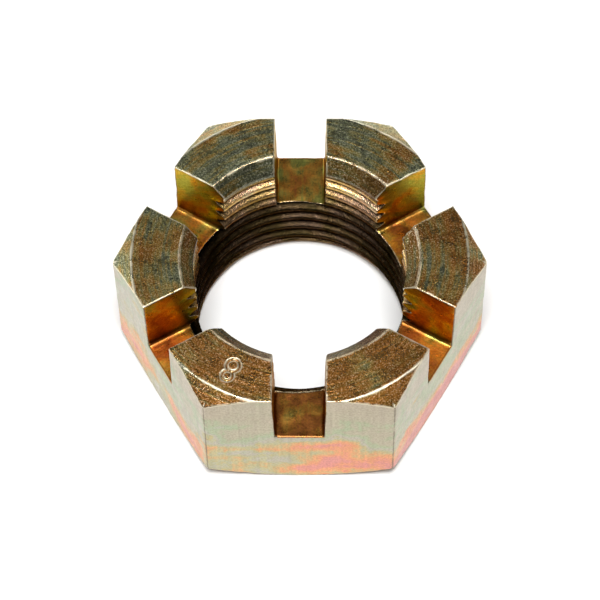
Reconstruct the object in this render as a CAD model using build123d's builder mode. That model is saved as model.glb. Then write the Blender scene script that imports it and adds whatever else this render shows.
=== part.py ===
from build123d import *

import os
from math import radians, sqrt, tan

# Slotted hexagon (castle) nut, low form, M20 x 1.5, machined from hexagon bar.
#
# One solid. The bearing face lies on Z = 0 and the nut's axis is Z. Six slots for a
# split pin are milled across the crown, one through the middle of each flat, so the
# crown stands as six castellations with a corner of the hexagon at the middle of each.
# All lengths are in millimetres, all angles in degrees.

# Metric fine thread: the bore is modelled at the thread's minor diameter.
THREAD_MAJOR = 20.0
THREAD_PITCH = 1.5
THREAD_MINOR = THREAD_MAJOR - 1.0825 * THREAD_PITCH

# Hexagon bar.
ACROSS_FLATS = 28.0
HEIGHT = 14.2
BAR_EDGE_RADIUS = 0.5
ACROSS_CORNERS = ACROSS_FLATS * 2 / sqrt(3)

# Turned chamfers on the hexagon's corners, each measured from the end face.
CROWN_DIAMETER = 28.9
CROWN_CHAMFER_ANGLE = 35.0
BEARING_DIAMETER = 27.6
BEARING_CHAMFER_ANGLE = 30.0

# Countersinks that lead the thread in.
COUNTERSINK_ANGLE = 90.0
CROWN_COUNTERSINK_DIAMETER = 20.6
BEARING_COUNTERSINK_DIAMETER = 20.2

# Split-pin slots: their walls lean out a little from floor to crown.
SLOT_COUNT = 6
SLOT_DEPTH = 6.6
SLOT_FLOOR_WIDTH = 4.25
SLOT_CROWN_WIDTH = 4.5
SLOT_FLOOR_RADIUS = 0.25
SLOT_FLOOR_Z = HEIGHT - SLOT_DEPTH

# The cutting tool and the turning envelope run past the bar by this much.
OVERRUN = 2.0


def countersink_depth(mouth_diameter):
    """Depth of a countersink from its mouth down to the minor diameter."""
    return (mouth_diameter - THREAD_MINOR) / 2 / tan(radians(COUNTERSINK_ANGLE / 2))


def turned_envelope():
    """Half section of the lathe's cut: the bore, both countersinks and both chamfers."""
    bore = THREAD_MINOR / 2
    rim = ACROSS_CORNERS / 2 + OVERRUN
    crown_drop = (rim - CROWN_DIAMETER / 2) * tan(radians(CROWN_CHAMFER_ANGLE))
    bearing_rise = (rim - BEARING_DIAMETER / 2) * tan(radians(BEARING_CHAMFER_ANGLE))
    return [
        (bore, countersink_depth(BEARING_COUNTERSINK_DIAMETER)),
        (BEARING_COUNTERSINK_DIAMETER / 2, 0),
        (BEARING_DIAMETER / 2, 0),
        (rim, bearing_rise),
        (rim, HEIGHT - crown_drop),
        (CROWN_DIAMETER / 2, HEIGHT),
        (CROWN_COUNTERSINK_DIAMETER / 2, HEIGHT),
        (bore, HEIGHT - countersink_depth(CROWN_COUNTERSINK_DIAMETER)),
    ]


def slot_profile():
    """Cross-section of one slot, drawn from its floor up to above the crown."""
    lean = (SLOT_CROWN_WIDTH - SLOT_FLOOR_WIDTH) / 2 / SLOT_DEPTH
    top = SLOT_DEPTH + OVERRUN
    floor_half = SLOT_FLOOR_WIDTH / 2
    top_half = floor_half + lean * top
    return [(-floor_half, 0), (floor_half, 0), (top_half, top), (-top_half, top)]


with BuildPart() as castle_nut:
    # A length of hexagon bar with two of its flats facing +Y and -Y.
    with BuildSketch():
        RegularPolygon(radius=ACROSS_FLATS / 2, side_count=6, major_radius=False)
    extrude(amount=HEIGHT)
    fillet(castle_nut.edges().filter_by(Axis.Z), radius=BAR_EDGE_RADIUS)

    # Face, chamfer, bore and countersink it on the lathe.
    with BuildSketch(Plane.XZ):
        with BuildLine():
            Polyline(*turned_envelope(), close=True)
        make_face()
    revolve(axis=Axis.Z, mode=Mode.INTERSECT)

    # Mill the six slots, each through the middle of a flat and in to the bore.
    for slot in range(SLOT_COUNT):
        outward = Vector(0, -1, 0).rotate(Axis.Z, slot * 360 / SLOT_COUNT)
        across = Vector(1, 0, 0).rotate(Axis.Z, slot * 360 / SLOT_COUNT)
        cut_plane = Plane(origin=(0, 0, SLOT_FLOOR_Z), x_dir=across, z_dir=outward)
        with BuildSketch(cut_plane):
            with BuildLine():
                Polyline(*slot_profile(), close=True)
            make_face()
            corners = vertices().group_by(Axis.Z)[0]
            fillet(corners, radius=SLOT_FLOOR_RADIUS)
        extrude(amount=ACROSS_CORNERS / 2 + OVERRUN, mode=Mode.SUBTRACT)

castle_nut.part.label = "castle_nut"

os.makedirs("parts", exist_ok=True)
export_step(castle_nut.part, "parts/castle_nut.step")
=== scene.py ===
from math import atan2, cos, degrees, pi, radians, sin, sqrt, tan

import bmesh
import bpy
import numpy as np
from mathutils import Matrix, Vector
from mathutils.geometry import tessellate_polygon


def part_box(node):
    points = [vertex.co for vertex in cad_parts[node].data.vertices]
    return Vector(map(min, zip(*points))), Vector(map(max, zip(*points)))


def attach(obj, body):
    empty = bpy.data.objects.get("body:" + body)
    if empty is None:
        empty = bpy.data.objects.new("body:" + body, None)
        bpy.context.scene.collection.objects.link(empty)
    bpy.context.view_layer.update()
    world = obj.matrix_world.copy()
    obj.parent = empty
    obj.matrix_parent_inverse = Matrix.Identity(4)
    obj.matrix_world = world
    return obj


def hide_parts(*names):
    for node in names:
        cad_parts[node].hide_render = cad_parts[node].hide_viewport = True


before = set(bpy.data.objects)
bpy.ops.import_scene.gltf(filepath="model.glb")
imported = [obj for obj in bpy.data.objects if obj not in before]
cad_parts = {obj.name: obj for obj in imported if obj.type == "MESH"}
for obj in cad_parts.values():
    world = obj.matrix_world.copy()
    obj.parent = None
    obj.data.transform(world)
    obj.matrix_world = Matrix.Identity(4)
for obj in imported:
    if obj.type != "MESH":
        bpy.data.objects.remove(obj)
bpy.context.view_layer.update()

# ---------------------------------------------------------------------------
# Castle nut: one piece of steel, sawn from drawn hexagon bar, faced, chamfered,
# bored and threaded on a lathe, milled with six slots, then zinc plated and
# dipped in a yellow chromate bath. It stands with a flat towards the front.
# ---------------------------------------------------------------------------

MM = 0.001           # the nut's sizes are in millimetres

low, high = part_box("castle_nut")
FLAT = (high[1] - low[1]) / 2 / MM
HEIGHT = high[2] / MM
BAR_EDGE = 0.5       # radius of the bar's six edges

CROWN_RADIUS = 14.45
CROWN_ANGLE = radians(35)
BEARING_RADIUS = 13.8
BEARING_ANGLE = radians(30)

SLOT_DEPTH = 6.6
SLOT_FLOOR = HEIGHT - SLOT_DEPTH
SLOT_HALF = 2.125    # half the width at the floor
SLOT_HALF_TOP = 2.25
SLOT_LEAN = (SLOT_HALF_TOP - SLOT_HALF) / SLOT_DEPTH
SLOT_FILLET = 0.25

PITCH = 1.5
MAJOR = 10.0         # the thread's radii
MINOR = MAJOR - 0.54125 * PITCH
MOUTH = 10.3         # the countersinks' radii
LOWER_MOUTH = 10.1
SINK_ANGLE = radians(45)
THREAD_START = 1.45  # depth below the crown at which the thread has faded out
THREAD_FADE = 0.5

END_FACE = 4.0       # about the width of both end faces, which spaces their rows
BREAK = 0.1          # radius to which every machined edge is worn
SIXTH = pi / 3


def half_width(z):
    """Half the slot's width at height z: constant up to the floor, then leaning out."""
    return SLOT_HALF + SLOT_LEAN * np.maximum(z - SLOT_FLOOR, 0)


def hexagon(angle):
    """Distance from the axis to the bar's skin: a flat is FLAT / cos of the turn from its
    middle, and a corner is a circle of radius BAR_EDGE about a point on the diagonal."""
    turn = (angle + SIXTH / 2) % SIXTH - SIXTH / 2
    centre = (FLAT - BAR_EDGE) / cos(SIXTH / 2)
    limit = atan2(BAR_EDGE / 2, centre + BAR_EDGE * cos(SIXTH / 2))
    flat = FLAT / np.cos(SIXTH / 2 - np.abs(turn))
    inside = np.maximum(BAR_EDGE**2 - (centre * np.sin(turn)) ** 2, 0)
    return np.where(np.abs(turn) < limit, centre * np.cos(turn) + np.sqrt(inside), flat)


def bore(angle, z):
    """Distance from the axis to the bore's skin: the widest of the thread and the two
    countersink cones. The thread is a 60 degree V with flats, whose height above the
    minor diameter is a ramp of slope tan 60 softened at both ends by log(1 + e^x), and it
    fades out in the last turn below the crown."""
    along = (z / PITCH - angle / (2 * pi)) % 1
    from_root = PITCH * np.abs(along - 0.5)
    ramp = (PITCH / 2 - from_root - PITCH / 8) * tan(radians(60))
    depth, soft = MAJOR - MINOR, 0.03
    vee = soft * (np.logaddexp(0, ramp / soft) - np.logaddexp(0, (ramp - depth) / soft))
    vee = vee * np.clip((HEIGHT - THREAD_START - z) / THREAD_FADE, 0, 1)
    upper = MOUTH - (HEIGHT - z) / tan(SINK_ANGLE)
    lower = LOWER_MOUTH - z / tan(SINK_ANGLE)
    return np.maximum(np.maximum(MINOR + vee, upper), lower)


# Columns of the grid. A lobe's column keeps a distance from the slot wall, or divides
# the rest of the lobe evenly, with more of them round the bar's edge; a slot's column
# keeps a distance from the slot's middle.
worn = [BREAK * (1 - cos(radians(a))) for a in (0, 30, 60, 90)]
near_wall = np.array(worn + [0.22, 0.4, 0.7])
bar_edge = np.array([0.012, 0.024, 0.036, 0.05, 0.075])
spread = np.concatenate([bar_edge, np.linspace(0.13, 0.93, 9)])
by_wall = np.ones(near_wall.size)
lobe_turn = np.concatenate([-by_wall, -spread[::-1], [0], spread, by_wall])
middle_wall = np.full(2 * spread.size + 1, near_wall[-1])
lobe_wall = np.concatenate([near_wall, middle_wall, near_wall[::-1]])
slot_side = np.array([SLOT_HALF - SLOT_FILLET, 1.7, 1.2, 0.6])
slot_side = np.concatenate([-slot_side, [0], slot_side[::-1]])
LOBE, SLOT = lobe_turn.size, slot_side.size

turn = np.tile(np.concatenate([lobe_turn, np.zeros(SLOT)]), 6)
wall = np.tile(np.concatenate([lobe_wall, np.zeros(SLOT)]), 6)
side = np.tile(np.concatenate([np.zeros(LOBE), slot_side]), 6)
in_slot = np.tile(np.concatenate([np.zeros(LOBE, bool), np.ones(SLOT, bool)]), 6)
sector = np.repeat(np.arange(6) * SIXTH, LOBE + SLOT)
slot_angle = np.where(in_slot | (turn > 0), sector + SIXTH / 2, sector - SIXTH / 2)


def column_angle(r, z, c=slice(None)):
    """Angle about the axis of each column at radius r and height z."""
    lobe = sector[c] + turn[c] * (SIXTH / 2 - np.arcsin((half_width(z) + wall[c]) / r))
    return np.where(in_slot[c], sector[c] + SIXTH / 2 + np.arcsin(side[c] / r), lobe)


def settle(skin, z, c=slice(None)):
    """Radius where each column meets a skin given as a function of angle and height."""
    z = np.atleast_2d(z) * np.ones(turn[c].size)
    r = np.full(z.shape, FLAT)
    for _ in range(8):
        r = skin(column_angle(r, z, c), z)
    return r, z


def arc(r, z, start, stop, steps):
    """Rows of a worn edge: a circle of radius BREAK about (r, z), between two angles in
    degrees. With each row goes the direction into the metal, outwards and up."""
    a = np.radians(np.linspace(start, stop, steps))[:, None]
    return r + BREAK * np.cos(a), z + BREAK * np.sin(a), -np.cos(a) + 0 * r, -np.sin(a) + 0 * r


def rows_between(first, last, steps):
    """Rows on the straight line from one edge to the next, at these fractions of it."""
    t = np.asarray(steps)[:, None]
    return first[0] + (last[0] - first[0]) * t, first[1] + (last[1] - first[1]) * t


def edge_rows(length_mm, count):
    """Fractions along a face: three close to each edge, and count between them."""
    close = np.array([0.12, 0.35, 0.8]) / length_mm
    between = np.linspace(1.3 / length_mm, 1 - 1.3 / length_mm, count)
    return np.concatenate([close, between, 1 - close[::-1]])


def end_face(c, top):
    """Rows from the hexagon over its chamfer and end face to the mouth of the countersink.
    Each worn edge is an arc about the corner of the outline moved inwards by BREAK."""
    if top:
        radius, angle, mouth, up, base = CROWN_RADIUS, CROWN_ANGLE, MOUTH, 1, HEIGHT
    else:
        radius, angle, mouth, up, base = BEARING_RADIUS, BEARING_ANGLE, LOWER_MOUTH, -1, 0
    r = np.full(turn[c].size, FLAT)
    z = np.full(turn[c].size, float(base))
    for _ in range(8):
        r = hexagon(column_angle(r, z, c))
        z = base - up * np.maximum(r - radius, 0) * tan(angle)
    outer_r = r - BREAK
    outer_in = np.maximum((outer_r - radius) * tan(angle) + BREAK / cos(angle), BREAK)
    inner_r = np.minimum(radius - BREAK * tan(angle / 2), outer_r)
    mouth_r = mouth + BREAK * tan(SINK_ANGLE / 2) + 0 * r
    slope = 90 - degrees(angle)
    first = arc(outer_r, base - up * outer_in, 0, up * slope, 4)
    second = arc(inner_r, base - up * BREAK + 0 * r, up * slope, up * 90, 3)
    third = arc(mouth_r, base - up * BREAK + 0 * r, up * 90, up * (90 + degrees(SINK_ANGLE)), 4)
    bevel_steps = [0.06, 0.2, 0.4, 0.6, 0.8, 0.94]
    bevel = rows_between((first[0][-1], first[1][-1]), (second[0][0], second[1][0]), bevel_steps)
    face_steps = edge_rows(END_FACE, 10)
    face = rows_between((second[0][-1], second[1][-1]), (third[0][0], third[1][0]), face_steps)
    flat_bevel, flat_face = np.ones_like(bevel[0]), np.ones_like(face[0])
    parts = [
        first,
        (*bevel, -cos(radians(slope)) * flat_bevel, -up * sin(radians(slope)) * flat_bevel),
        second,
        (*face, 0 * flat_face, -up * flat_face),
        third,
    ]
    return [np.vstack([p[k] for p in parts]) for k in range(4)], [p[0].shape[0] for p in parts]


def bore_rows(z, c):
    """Rows down or up the bore. The metal lies straight out from it, or square to a cone."""
    r, z = settle(bore, z[:, None], c)
    cone = r > MAJOR + 0.02
    up = np.where(z > HEIGHT / 2, 1, -1)
    return [r, z, np.where(cone, sin(SINK_ANGLE), 1.0), np.where(cone, -up * cos(SINK_ANGLE), 0.0)]


def flat_rows(z, c):
    """Rows up or down the flats."""
    r, z = settle(lambda a, _: hexagon(a), z, c)
    return [r, z, -np.ones_like(r), 0 * r]


everyone = slice(None)
worn_down = SLOT_FLOOR - np.array(worn)
BORE_STEP = 0.075    # a twentieth of the pitch
top_of_bore = HEIGHT - BREAK * (1 - cos(SINK_ANGLE))
bottom_of_bore = HEIGHT - top_of_bore

# Skin above the slots' floor: up the flat, over the crown, down the bore.
lobes = np.flatnonzero(~in_slot)
crown, crown_groups = end_face(lobes, True)
near_top = crown[1][0]
rise = np.concatenate([[0, 0.25], np.linspace(0.8, 4.8, 8)])
squeeze = np.minimum(1, (near_top - SLOT_FLOOR - 0.4) / rise[-1])
climb = np.vstack([SLOT_FLOOR + rise[:, None] * squeeze, near_top - 0.3, near_top - 0.1])
down = np.arange(top_of_bore - 0.03, SLOT_FLOOR + 0.3, -BORE_STEP)
down = np.concatenate([down, SLOT_FLOOR + np.array([0.25, 0.18, 0.12, 0.06, 0])])
upper = [np.vstack(p) for p in zip(flat_rows(climb, lobes), crown, bore_rows(down, lobes))]
upper_rows = [climb.shape[0], *crown_groups, down.size]

# Skin below it: down the flat, over the bearing face, up the bore.
foot, foot_groups = end_face(everyone, False)
near_foot = foot[1][0]
drop = np.linspace(0, 1, 12)[1:][:, None]
below_floor = worn_down[:, None] + 0 * near_foot
fall = np.vstack([below_floor, worn_down[-1] + (near_foot + 0.1 - worn_down[-1]) * drop])
rising = np.arange(bottom_of_bore + 0.03, worn_down[-1] - 0.04, BORE_STEP)
rising = np.concatenate([rising, worn_down[::-1]])
lower = [np.vstack(p) for p in zip(flat_rows(fall, everyone), foot, bore_rows(rising, everyone))]
lower_rows = [fall.shape[0], *foot_groups, rising.size]


def place(skin, c):
    """Points of a skin, in mm. Within BREAK of a slot's opening the skin is worn back into
    the metal along a quarter circle, and the slot's lower corners are filled by a fillet."""
    r, z, inward, sink = skin
    angle = column_angle(r, z, c)
    far = 9.0        # for a column with no wall near it
    at_wall = np.where(in_slot[c], 0, np.where(np.abs(turn[c]) == 1, wall[c], far))
    away = np.hypot(at_wall, np.maximum(SLOT_FLOOR - z, 0))
    quarter = BREAK - np.sqrt(np.maximum(BREAK**2 - (BREAK - away) ** 2, 0))
    back = np.where(away < BREAK, quarter, 0)
    out = slot_angle[c]
    x = r * np.cos(angle) + back * inward * np.cos(out)
    y = r * np.sin(angle) + back * inward * np.sin(out)
    height = z + back * sink
    in_corner = (at_wall == 0) & ~in_slot[c] & (np.abs(z - SLOT_FLOOR) < 1e-9)
    pinch = SLOT_FILLET * (1 - sqrt(0.5)) * in_corner
    across = np.where(turn[c] > 0, 1, -1)
    x = x - pinch * across * np.sin(out)
    y = y + pinch * across * np.cos(out)
    return np.stack([x, y, height + pinch], axis=-1)


def edge_distance(p):
    """Distance in mm from each point to the nearest machined edge: slot rims, both rims
    of the crown, the countersink's mouth, the bearing face's rims and the bar's corners."""
    x, y, z = p[..., 0], p[..., 1], p[..., 2]
    r, angle = np.hypot(x, y), np.arctan2(y, x)
    hexa = hexagon(angle)
    from_slot = (angle % SIXTH) - SIXTH / 2
    aside = np.abs(r * np.sin(from_slot)) - half_width(z)
    slot = np.hypot(np.maximum(aside, 0), np.maximum(SLOT_FLOOR - z, 0))
    rim_top = HEIGHT - np.maximum(hexa - CROWN_RADIUS, 0) * tan(CROWN_ANGLE)
    rim_low = (hexa - BEARING_RADIUS) * tan(BEARING_ANGLE)
    circle = [(hexa, rim_top), (np.minimum(CROWN_RADIUS, hexa), HEIGHT), (MOUTH, HEIGHT)]
    circle += [(hexa, rim_low), (BEARING_RADIUS, 0), (LOWER_MOUTH, 0)]
    near = [np.hypot(r - a, z - b) for a, b in circle]
    from_corner = (angle + SIXTH / 2) % SIXTH - SIXTH / 2
    bar = np.abs(r * np.sin(from_corner)) + np.maximum(hexa - r - 0.3, 0)
    return np.minimum.reduce([slot, bar, *near])


# The whole nut is gathered here. Each point also gets its distance from an edge, its
# place across the tool marks and its depth below the thread's crests, all in mm.
points, faces, finish, edge, cut, root = [], [], [], [], [], []
CUT_APART = 20       # keeps the tool marks of one flat or slot from repeating on the next


def add_grid(p, closed, finishes, across_cut, edges=None, keep=None):
    """Adds a grid of points, rows by columns. finishes holds one number for each strip of
    faces, or one for each face, and keep says which faces are made."""
    rows, cols = p.shape[:2]
    start = sum(len(q) for q in points)
    index = start + np.arange(rows * cols).reshape(rows, cols)
    right = np.roll(index, -1, axis=1) if closed else index[:, 1:]
    here = index if closed else index[:, :-1]
    quad = np.stack([here[:-1], right[:-1], right[1:], here[1:]], axis=-1)
    keep = np.ones(quad.shape[:2], bool) if keep is None else keep
    faces.extend(quad[keep].tolist())
    finish.extend(np.broadcast_to(finishes.reshape(len(finishes), -1), keep.shape)[keep].tolist())
    points.append(p.reshape(-1, 3))
    edge.append((edge_distance(p) if edges is None else edges).ravel())
    cut.append(np.broadcast_to(across_cut, p.shape[:2]).ravel())
    cones = np.maximum(MOUTH - (HEIGHT - p[..., 2]), LOWER_MOUTH - p[..., 2])
    root.append((np.hypot(p[..., 0], p[..., 1]) - np.maximum(MINOR, cones)).ravel())
    return index


# The finishes, in the order of the materials, and the one that each group of rows has:
# flat, rim, chamfer, rim, end face, mouth of the countersink, bore.
BAR, TURNED, THREAD, MILLED = range(4)
strips = [BAR, TURNED, TURNED, TURNED, TURNED, THREAD, THREAD]


def across_marks(p, counts):
    """The coordinate across the tool marks: along a flat on the bar's drawn sides, the
    radius on turned ends, and the height in the bore."""
    r, angle = np.hypot(p[..., 0], p[..., 1]), np.arctan2(p[..., 1], p[..., 0])
    on_flat = r * np.sin(angle % SIXTH - SIXTH / 2) + CUT_APART * np.floor(angle / SIXTH)
    row = np.repeat([0, 1, 1, 1, 1, 2, 2], counts)[:, None]
    return np.select([row == 0, row == 1], [on_flat, r], p[..., 2])


upper_points, lower_points = place(upper, lobes), place(lower, everyone)
upper_cut = across_marks(upper_points, upper_rows)
lower_finish = np.tile(np.repeat(strips, lower_rows)[:-1, None], turn.size)
lower_finish[: len(worn) - 1, in_slot] = MILLED
add_grid(lower_points, True, lower_finish, across_marks(lower_points, lower_rows))

# A strength mark is punched into one lobe: a plain 8 of two loops, its top to the rim.
STAMPED = 4
MARK_CENTRE = np.array([-5.75, -11.0, 0])
MARK_UP = MARK_CENTRE / np.linalg.norm(MARK_CENTRE)
MARK_RIGHT = np.array([MARK_UP[1], -MARK_UP[0], 0])
MARK_HALF = (0.95, 1.4)
MARK_ROWS, MARK_COLUMNS = 57, 39
LOOPS = ((0.55, 0.46, 0.48), (-0.5, 0.56, 0.58))    # height of centre, and the two radii
STROKE, PUNCH_DEPTH = 0.15, 0.13


def loop_distance(u, v, centre, a, b):
    """Distance from an ellipse's line, taken along the ray from its centre."""
    rho = np.hypot(u / a, (v - centre) / b)
    return np.abs(rho - 1) * np.hypot(u, v - centre) / np.maximum(rho, 1e-6)


def around(grid):
    """The border of a grid of numbers, once round."""
    return np.concatenate([grid[0, :-1], grid[:-1, -1], grid[-1, :0:-1], grid[:0:-1, 0]])


# The countersink is finished like the crown. In the stamped lobe a hole is left in the
# crown's grid, the mark's own finer grid is laid in it, and triangles join the two.
upper_finish = np.repeat(strips, upper_rows)[:-1]
upper_finish[-down.size :][down > HEIGHT - THREAD_START - 0.2] = TURNED

for lobe in range(6):
    mine = slice(lobe * LOBE, (lobe + 1) * LOBE)
    sheet, marks = upper_points[:, mine], upper_cut[:, mine]
    keep = np.ones((sheet.shape[0] - 1, LOBE - 1), bool)
    if lobe == STAMPED:
        first = sum(upper_rows[:4])
        face = np.arange(first, first + upper_rows[4])
        u, v = (sheet - MARK_CENTRE) @ -MARK_RIGHT, (sheet - MARK_CENTRE) @ MARK_UP
        col0 = np.flatnonzero((u[face] < -MARK_HALF[0] - 0.1).all(axis=0))[-1]
        col1 = np.flatnonzero((u[face] > MARK_HALF[0] + 0.1).all(axis=0))[0]
        middle = slice(col0, col1 + 1)
        row0 = face[(v[face, middle] > MARK_HALF[1] + 0.05).all(axis=1)][-1]
        row1 = face[(v[face, middle] < -MARK_HALF[1] - 0.05).all(axis=1)][0]
        keep[row0:row1, col0:col1] = False
    index = add_grid(sheet, False, upper_finish, marks, keep=keep)
    if lobe == STAMPED:
        v_steps = np.linspace(MARK_HALF[1], -MARK_HALF[1], MARK_ROWS)
        u_steps = np.linspace(-MARK_HALF[0], MARK_HALF[0], MARK_COLUMNS)
        v, u = np.meshgrid(v_steps, u_steps, indexing="ij")
        line = np.minimum(*(loop_distance(u, v, *loop) for loop in LOOPS))
        groove = np.clip(1 - (line / STROKE) ** 2, 0, 1)
        patch = MARK_CENTRE - u[..., None] * MARK_RIGHT + v[..., None] * MARK_UP
        patch[..., 2] = HEIGHT - PUNCH_DEPTH * groove
        patch_radius = np.hypot(patch[..., 0], patch[..., 1])
        lips = np.minimum(1.6 * np.abs(line - STROKE), 0.5)
        inner = add_grid(patch, False, np.full(MARK_ROWS - 1, TURNED), patch_radius, edges=lips)
        rings = [around(index[row0 : row1 + 1, col0 : col1 + 1]), around(inner)]
        every = np.vstack(points)
        fill = tessellate_polygon([[Vector(q) for q in every[ring]] for ring in rings])
        ring = np.concatenate(rings)
        faces.extend(ring[list(t)].tolist() for t in fill)
        finish.extend([TURNED] * len(fill))

# The slots: a floor from the flat to the bore, and two walls. A wall is a strip from its
# rim to a rectangle inside it, and the rectangle itself.
along_floor = np.concatenate([[0], edge_rows(4.7, 8), [1]])
for slot in range(6):
    first = slot * (LOBE + SLOT) + LOBE - 1
    columns = np.arange(first, first + SLOT + 2) % turn.size
    outer, inner = lower_points[0, columns], lower_points[-1, columns]
    middle = (slot + 0.5) * SIXTH
    out = np.array([cos(middle), sin(middle), 0])
    across = np.array([-sin(middle), cos(middle), 0])
    bed = outer + (inner - outer) * along_floor[:, None, None]
    ends = np.minimum(np.linalg.norm(bed - outer, axis=-1), np.linalg.norm(bed - inner, axis=-1))
    lengthwise = bed @ across + CUT_APART * slot
    add_grid(bed, False, np.full(len(along_floor) - 1, MILLED), lengthwise, edges=ends)
    for hand in (-1, 1):
        lobe = slot if hand < 0 else (slot + 1) % 6
        rim = upper_points[:, lobe * LOBE + (LOBE - 1 if hand < 0 else 0)]
        rim = np.vstack([rim, bed[::-1, 0 if hand < 0 else -1][1:-1]])
        reach = np.clip(rim @ out, MOUTH + 0.3, FLAT - 0.4)
        height = np.clip(rim[:, 2], SLOT_FLOOR + 0.4, HEIGHT - 0.45)
        inset = reach[:, None] * out + hand * half_width(height)[:, None] * across
        inset[:, 2] = height
        strip = np.stack([rim, inset])
        bare = np.stack([np.zeros(len(rim)), np.full(len(rim), 0.4)])
        slanting = 0.6 * (strip @ out) + 0.8 * strip[..., 2] + CUT_APART * slot + 7 * hand
        index = add_grid(strip, True, np.array([MILLED]), slanting, edges=bare)
        faces.append(index[1].tolist())
        finish.append(MILLED)

mesh = bpy.data.meshes.new("castle_nut_plated")
mesh.from_pydata((np.vstack(points) * MM).tolist(), [], faces)
corner_of = np.empty(len(mesh.loops), int)
mesh.loops.foreach_get("vertex_index", corner_of)
for name, values in (("edge_mm", edge), ("cut_mm", cut), ("root_mm", root)):
    attribute = mesh.attributes.new(name, "FLOAT", "CORNER")
    attribute.data.foreach_set("value", np.concatenate(values)[corner_of])
mesh.polygons.foreach_set("material_index", finish)

shape = bmesh.new()
shape.from_mesh(mesh)
bmesh.ops.delete(shape, geom=[v for v in shape.verts if not v.link_faces], context="VERTS")
bmesh.ops.remove_doubles(shape, verts=shape.verts, dist=4e-7)
bmesh.ops.dissolve_degenerate(shape, edges=shape.edges, dist=1e-7)
bmesh.ops.recalc_face_normals(shape, faces=shape.faces)
for face in shape.faces:
    face.smooth = True
shape.to_mesh(mesh)
shape.free()

# Handling has dented the edges and the plating bath has softened them, so the skin goes
# in a little along its normal: a sum of sine waves in seeded directions, each 0.5 to
# 2.5 mm long, that dies away from the edges.
DENT_DEPTH, DENT_REACH, WAVES = 0.045, 0.15, 24
rng = np.random.default_rng(7)
place_mm = np.empty(len(mesh.vertices) * 3)
mesh.vertices.foreach_get("co", place_mm)
place_mm = place_mm.reshape(-1, 3) / MM
normal = np.empty(place_mm.size)
mesh.vertex_normals.foreach_get("vector", normal)
waves = rng.normal(size=(WAVES, 3))
waves *= (2 * pi / rng.uniform(0.5, 2.5, WAVES) / np.linalg.norm(waves, axis=1))[:, None]
rough = np.sin(place_mm @ waves.T + rng.uniform(0, 2 * pi, WAVES)).sum(axis=1) / WAVES**0.5
fade = np.exp(-edge_distance(place_mm) / DENT_REACH)
dent = DENT_DEPTH * np.clip(rough - 0.2, 0, 2) * fade
place_mm -= normal.reshape(-1, 3) * dent[:, None]
mesh.vertices.foreach_set("co", (place_mm * MM).ravel())
mesh.update()

nut = bpy.data.objects.new("castle_nut_plated", mesh)
bpy.context.collection.objects.link(nut)
weighted = nut.modifiers.new("weighted normals", "WEIGHTED_NORMAL")
weighted.weight = 100


def linear(hex_colour):
    """An sRGB hex colour as linear RGBA."""
    c = np.array([int(hex_colour[i : i + 2], 16) for i in (1, 3, 5)]) / 255
    c = np.where(c <= 0.04045, c / 12.92, ((c + 0.055) / 1.055) ** 2.4)
    return (*c.tolist(), 1.0)


def add(tree, kind, inputs=None, out=0, **settings):
    """Adds one node with its settings, and sets or links its inputs. Returns an output."""
    node = tree.nodes.new("ShaderNode" + kind)
    for name, value in settings.items():
        setattr(node, name, value)
    for name, value in (inputs or {}).items():
        socket = node.inputs[name]
        if isinstance(value, bpy.types.NodeSocket):
            tree.links.new(value, socket)
        else:
            socket.default_value = value
    return node.outputs[out]


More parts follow.
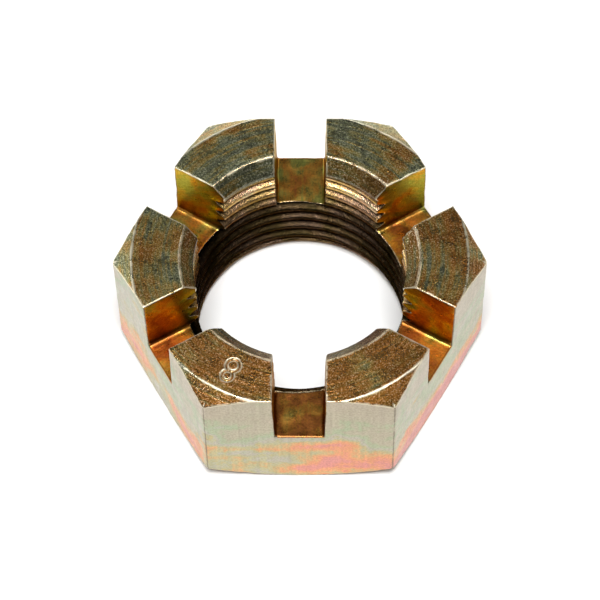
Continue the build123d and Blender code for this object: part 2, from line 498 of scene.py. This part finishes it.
def chromated_zinc(
    name, film, base, drift, squash, patch_mm, streak, mark_mm, mark_depth, grain_mm,
    grain_depth, shade, sparkle, roughness, graze, wear_and_highlight, worn_mm,
    root_span=(0.1, 0.6), root_tone=(1.0, 1.0), tone_at=((0.0, 1.0), (HEIGHT, 1.0)),
):
    """Zinc plate under a clear chromate film a few hundred nanometres thick, whose colour
    shifts with its thickness along film.

    The thickness is base, plus a noise of patches patch_mm across and squash times
    flatter, plus drift for each mm across the nut, plus streak times the tool marks. The
    marks are mark_mm apart and the grain is grain_mm across, both drawn coarser than the
    real ones, which would be too fine to see. shade is how dark and light they make the
    film, and sparkle is how much bare metal shows on the grain's tips. wear_and_highlight
    is the colour that shows within about worn_mm of an edge: worn film, and on the turned
    ends also a painted edge highlight. graze is the tint at a glancing angle. On the slots
    and the turned ends, drift also paints shade towards the front.
    root_tone is the tone at the two depths below the thread's crests in root_span, which paints a
    highlight on the thread's crests and shade in its roots and the countersinks, and tone_at holds
    heights with the tone at each, which paints shade and light by height."""
    material = bpy.data.materials.new(name)
    material.use_nodes = True
    tree = material.node_tree
    tree.nodes.clear()

    at = add(tree, "VectorMath",
        {0: add(tree, "TexCoord", out="Object"), "Scale": 1 / MM}, operation="SCALE")
    edge_mm = add(tree, "Attribute", out="Fac", attribute_name="edge_mm")
    cut_mm = add(tree, "Attribute", out="Fac", attribute_name="cut_mm")
    root_mm = add(tree, "Attribute", out="Fac", attribute_name="root_mm")

    # Four noises: patches of film, a fine mottle, tool marks and the plate's grain.
    layered = add(tree, "VectorMath", {0: at, 1: (1, 1, squash)}, operation="MULTIPLY")
    patch = add(tree, "TexNoise", {"Vector": layered, "Scale": 1 / patch_mm,
        "Detail": 2.0, "Roughness": 0.5, "Distortion": 0.4})
    mottle = add(tree, "TexNoise", {"Vector": at, "Scale": 0.9, "Detail": 6.0, "Roughness": 0.75})
    slow = add(tree, "VectorMath", {0: at, "Scale": 0.12 * mark_mm}, operation="SCALE")
    mark = add(tree, "TexNoise", {"Vector": slow, "W": cut_mm, "Scale": 1 / mark_mm,
        "Detail": 3.0, "Roughness": 0.6}, noise_dimensions="4D")
    grain = add(tree, "TexNoise", {"Vector": at, "Scale": 1 / grain_mm,
        "Detail": 4.0, "Roughness": 0.7})
    grit = add(tree, "MapRange", {"Value": grain, "From Min": 0.38, "From Max": 0.62})

    # The film's thickness, and the colour that it gives.
    across = add(tree, "VectorMath", {0: at, 1: drift}, out="Value", operation="DOT_PRODUCT")
    some = add(tree, "Math", {0: mottle, 1: 0.35, 2: -0.175}, operation="MULTIPLY_ADD")
    more = add(tree, "Math", {0: mark, 1: streak, 2: base - streak / 2}, operation="MULTIPLY_ADD")
    thickness = patch
    for part in (some, more, across):
        thickness = add(tree, "Math", {0: thickness, 1: part}, operation="ADD")
    colour = add(tree, "ValToRGB", {"Fac": thickness})
    colour.node.color_ramp.interpolation = "B_SPLINE"
    elements = colour.node.color_ramp.elements
    while len(elements) < len(film):
        elements.new(0.5)
    for k, (element, tint) in enumerate(zip(elements, film)):
        element.position = 0.3 + 0.4 * k / (len(film) - 1)
        element.color = linear(tint)

    # How dark it is: the grain's pits and the marks, then painted light and shade: a painted
    # highlight on the thread's crests, painted shade in its roots and the countersinks, and
    # painted shade by height deep in the bore and at the foot of the slot walls.
    dark, light = shade
    tone = add(tree, "MapRange", {"Value": grit, "To Min": dark, "To Max": light})
    lines = add(tree, "MapRange", {"Value": mark, "From Min": 0.3, "From Max": 0.7,
        "To Min": (1 + dark) / 2, "To Max": (1 + light) / 2})
    groove = add(tree, "MapRange", {"Value": root_mm, "From Min": root_span[0],
        "From Max": root_span[1], "To Min": root_tone[0], "To Max": root_tone[1]})
    # Painted shade and light by height, set by tone_at: dark deep in the bore and at the foot of
    # the slot walls.
    height = add(tree, "SeparateXYZ", {0: at}, out="Z")
    level = add(tree, "Math", {0: height, 1: HEIGHT}, operation="DIVIDE")
    shadow = add(tree, "ValToRGB", {"Fac": level})
    elements = shadow.node.color_ramp.elements
    while len(elements) < len(tone_at):
        elements.new(0.5)
    for element, (z, grey) in zip(elements, tone_at):
        element.position = z / HEIGHT
        element.color = (grey, grey, grey, 1)
    for part in (lines, groove, shadow):
        tone = add(tree, "Math", {0: tone, 1: part}, operation="MULTIPLY")
    colour = add(tree, "VectorMath", {0: colour, "Scale": tone}, operation="SCALE")

    # Where the film is gone: along the edges, to an uneven depth, and on the grain's tips.
    # On the turned ends the pale edge colour is also a painted edge highlight.
    depth = add(tree, "Math",
        {0: mottle, 1: worn_mm * 3, 2: -worn_mm * 0.9}, operation="MULTIPLY_ADD")
    depth = add(tree, "Math", {0: depth, 1: 0.005}, operation="MAXIMUM")
    bare = add(tree, "MapRange", {"Value": edge_mm, "From Min": 0.0, "From Max": depth,
        "To Min": 1.0, "To Max": 0.0})
    tips = add(tree, "MapRange", {"Value": grit, "From Min": 0.8, "To Max": sparkle})
    bare = add(tree, "Math", {0: bare, 1: tips}, operation="MAXIMUM")
    colour = add(tree, "Mix", {"Factor": bare, 6: colour, 7: linear(wear_and_highlight)}, out=2, data_type="RGBA")

    dull = add(tree, "MapRange", {"Value": mottle, "From Min": 0.3, "From Max": 0.7,
        "To Min": roughness - 0.08, "To Max": roughness + 0.12})
    marks = add(tree, "Bump", {"Strength": 1.0, "Distance": mark_depth * MM, "Height": mark})
    skin = add(tree, "Bump", {"Strength": 1.0, "Distance": grain_depth * MM, "Height": grit,
        "Normal": marks})
    shader = add(tree, "BsdfPrincipled", {"Base Color": colour, "Metallic": 1.0,
        "Roughness": dull, "Normal": skin, "Specular Tint": linear(graze)})
    tree.links.new(shader, tree.nodes.new("ShaderNodeOutputMaterial").inputs[0])
    return material


# Drawn bar is smooth with fine lines along its length, and the film on it is pale, in
# soft layers: green and lavender above, peach and pink at the foot.
drawn = chromated_zinc(
    "yellow_chromated_zinc_on_drawn_bar",
    film=["#B0A490", "#9AB088", "#B8A6A2", "#A6AE84", "#CAA474", "#DC9666", "#CC8C88"],
    base=0.17, drift=(0, 0, -0.034), squash=2.4, patch_mm=9.0, streak=0.12,
    mark_mm=0.35, mark_depth=0.004, grain_mm=0.2, grain_depth=0.003,
    shade=(0.8, 1.1), sparkle=0.05, roughness=0.34, graze="#FFFFFF",
    wear_and_highlight="#6A5C48", worn_mm=0.16,
)
# Faced and chamfered ends are grainy with rings round the axis and pale burnished rims,
# brightened by a painted edge highlight, olive behind and browner and darker in front,
# where the darkening is painted shade. The countersink, level with the crests, is
# painted darker as shade.
turned = chromated_zinc(
    "yellow_chromated_zinc_on_turned_face",
    film=["#7C8066", "#888658", "#9A844A", "#A47A3E", "#7A5A28", "#96642E"],
    # drift's -y part makes the film darker towards the front: painted shade.
    base=0.0, drift=(0.006, -0.012, 0), squash=1, patch_mm=3.0, streak=1.0,
    mark_mm=0.22, mark_depth=0.045, grain_mm=0.13, grain_depth=0.009,
    shade=(0.3, 1.65), sparkle=0.5, roughness=0.28, graze="#FFFFFF",
    # The pale edge colour is partly a painted edge highlight, and root_tone paints shade in the
    # countersinks.
    wear_and_highlight="#F4EBD0", worn_mm=0.25, root_span=(0.02, 0.15), root_tone=(0.55, 1.0),
)
# The thread holds a brown film. A painted highlight makes it palest on the crests under
# the crown, and painted shade makes it all but black in the roots and below the slots.
threaded = chromated_zinc(
    "yellow_chromated_zinc_in_thread",
    film=["#A08A54", "#C09E64", "#DEB280", "#E8BEA0", "#B08A60"],
    base=0.0, drift=(0, 0, -0.005), squash=1, patch_mm=3.0, streak=0.3,
    mark_mm=0.25, mark_depth=0.02, grain_mm=0.16, grain_depth=0.009,
    shade=(0.5, 1.3), sparkle=0.04, roughness=0.22, graze="#5E4630",
    # root_tone paints a highlight on the crests and shade in the roots.
    wear_and_highlight="#F0D8AE", worn_mm=0.1, root_tone=(2.0, 0.08),
    # tone_at paints shade by height: dim at the foot, near black from 1.3 mm up to the slots'
    # floor, rising to full tone on the crests from 3.2 to 1.95 mm under the crown, and darker
    # above.
    tone_at=(
        (0.4, 0.3), (1.3, 0.05), (SLOT_FLOOR, 0.04), (HEIGHT - 4.2, 0.5),
        (HEIGHT - 3.2, 1.0), (HEIGHT - 1.95, 1.0), (HEIGHT - 1.7, 0.32),
    ),
)
# Milled slots are smooth, and their film is thick: amber with green and magenta. Painted
# shade makes the walls darkest where they meet the floor, and the slots darker towards the front.
milled = chromated_zinc(
    "yellow_chromated_zinc_on_milled_slot",
    film=["#AEB05A", "#D0AC52", "#D49A44", "#C08038", "#B06A3A", "#A86E30"],
    # drift's -y part makes the film darker and browner towards the front: painted shade on the
    # front slots.
    base=0.08, drift=(0, -0.009, -0.012), squash=1, patch_mm=2.6, streak=0.35,
    mark_mm=0.2, mark_depth=0.014, grain_mm=0.2, grain_depth=0.004,
    shade=(0.7, 1.15), sparkle=0.1, roughness=0.3, graze="#D8B070",
    wear_and_highlight="#8A5A34", worn_mm=0.08,
    # tone_at paints shade on the walls, darkest just above the floor and lighter upwards.
    tone_at=((SLOT_FLOOR + 0.1, 1.0), (SLOT_FLOOR + 0.3, 0.27), (HEIGHT - 0.6, 1.0)),
)
for material in (drawn, turned, threaded, milled):
    mesh.materials.append(material)

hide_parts("castle_nut")
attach(nut, "root")


# ---------------------------------------------------------------------------
# Floor: a sheet of matt white paper, which the nut stands on.
# ---------------------------------------------------------------------------

FLOOR_HALF = 3.0     # in metres
PAPER_GAP = 0.02     # in mm, so that the bearing face and the paper don't share a plane

h = FLOOR_HALF
floor_mesh = bpy.data.meshes.new("floor")
floor_mesh.from_pydata([(-h, -h, 0), (h, -h, 0), (h, h, 0), (-h, h, 0)], [], [(0, 1, 2, 3)])
floor = bpy.data.objects.new("floor", floor_mesh)
floor.location.z = -PAPER_GAP * MM
bpy.context.collection.objects.link(floor)

# Matt paper gives an even white with only a soft contact shadow.
paper = bpy.data.materials.new("matt_white_paper")
paper.use_nodes = True
paper_inputs = paper.node_tree.nodes["Principled BSDF"].inputs
paper_inputs["Base Color"].default_value = linear("#F8F8F7")
paper_inputs["Roughness"].default_value = 0.95
floor_mesh.materials.append(paper)


# ---------------------------------------------------------------------------
# Light: a sky that is white at the horizon and grey overhead, a softbox above
# the front, and two weaker ones behind and to the left.
# ---------------------------------------------------------------------------

world = bpy.data.worlds.new("studio")
bpy.context.scene.world = world
world.use_nodes = True
sky = world.node_tree
upwards = add(sky, "SeparateXYZ", {0: add(sky, "TexCoord", out="Generated")}, out="Z")
strength = add(sky, "MapRange", {"Value": upwards, "From Min": 0.0, "From Max": 0.42,
    "To Min": 1.3, "To Max": 0.1})
sky.links.new(strength, sky.nodes["Background"].inputs["Strength"])
sky.nodes["Background"].inputs["Color"].default_value = linear("#FBFAF8")


def softbox(name, position, size, power):
    """A square area light that faces the nut. Positions and size are in metres."""
    light = bpy.data.lights.new(name, "AREA")
    light.size, light.energy = size, power
    lamp = bpy.data.objects.new(name, light)
    lamp.location = position
    lamp.rotation_euler = (-Vector(position)).to_track_quat("-Z", "Y").to_euler()
    bpy.context.collection.objects.link(lamp)


softbox("key", (0.0, -0.145, 0.58), 0.24, 4.4)
softbox("strip behind", (0.0, 0.55, 0.06), 0.32, 0.8)
softbox("fill", (-0.55, 0.15, 0.2), 0.3, 0.6)


# ---------------------------------------------------------------------------
# Camera: it looks down on the nut from in front, through a long lens.
# ---------------------------------------------------------------------------

LENS, SENSOR = 171.5, 36.0
ELEVATION, AZIMUTH, ROLL = radians(61.04), radians(1.22), radians(-1.06)
DISTANCE = 0.25701   # in metres, as are the two shifts of the aim
AIM_RIGHT, AIM_UP = -0.000098, 0.003122

level_part = cos(ELEVATION)
back = Vector((sin(AZIMUTH) * level_part, -cos(AZIMUTH) * level_part, sin(ELEVATION)))
right = Vector((cos(AZIMUTH), sin(AZIMUTH), 0))
up = back.cross(right)
right, up = right * cos(ROLL) + up * sin(ROLL), up * cos(ROLL) - right * sin(ROLL)
stand = right * AIM_RIGHT + up * AIM_UP + back * DISTANCE
turned_to = Matrix((right, up, back)).transposed().to_4x4()

lens = bpy.data.cameras.new("camera")
lens.lens, lens.sensor_width = LENS, SENSOR
lens.clip_start = 0.01
camera = bpy.data.objects.new("camera", lens)
camera.matrix_world = Matrix.Translation(stand) @ turned_to
bpy.context.collection.objects.link(camera)
bpy.context.scene.camera = camera
bpy.context.scene.view_settings.view_transform = "Standard"
